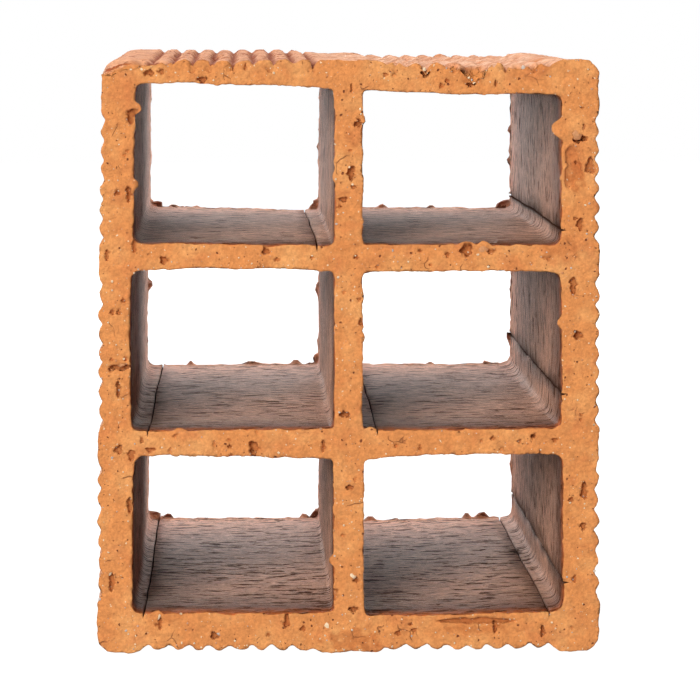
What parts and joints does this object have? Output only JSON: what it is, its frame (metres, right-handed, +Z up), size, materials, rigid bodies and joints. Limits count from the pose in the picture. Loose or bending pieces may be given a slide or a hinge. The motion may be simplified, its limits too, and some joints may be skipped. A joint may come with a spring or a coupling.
{
  "type": "hollow clay brick",
  "caption": "Hollow fired-clay brick, one extruded piece with rectangular cells right through its length and ribbed faces that key mortar and plaster.",
  "frame": {"origin": "middle of the lower bed face, at the height of the plain bands and rib crests that it stands on", "axes": "+X across the brick to its right side face, +Y along the extrusion and its cells, +Z up to the upper bed face"},
  "size_m": [0.118, 0.24, 0.14],
  "materials": {
    "fired_clay": "matt red clay, wire-cut ends, drag-torn cell walls, ribbed outer faces"
  },
  "bodies": {
    "root": {"clay_block": "fired_clay"}
  },
  "joints": []
}
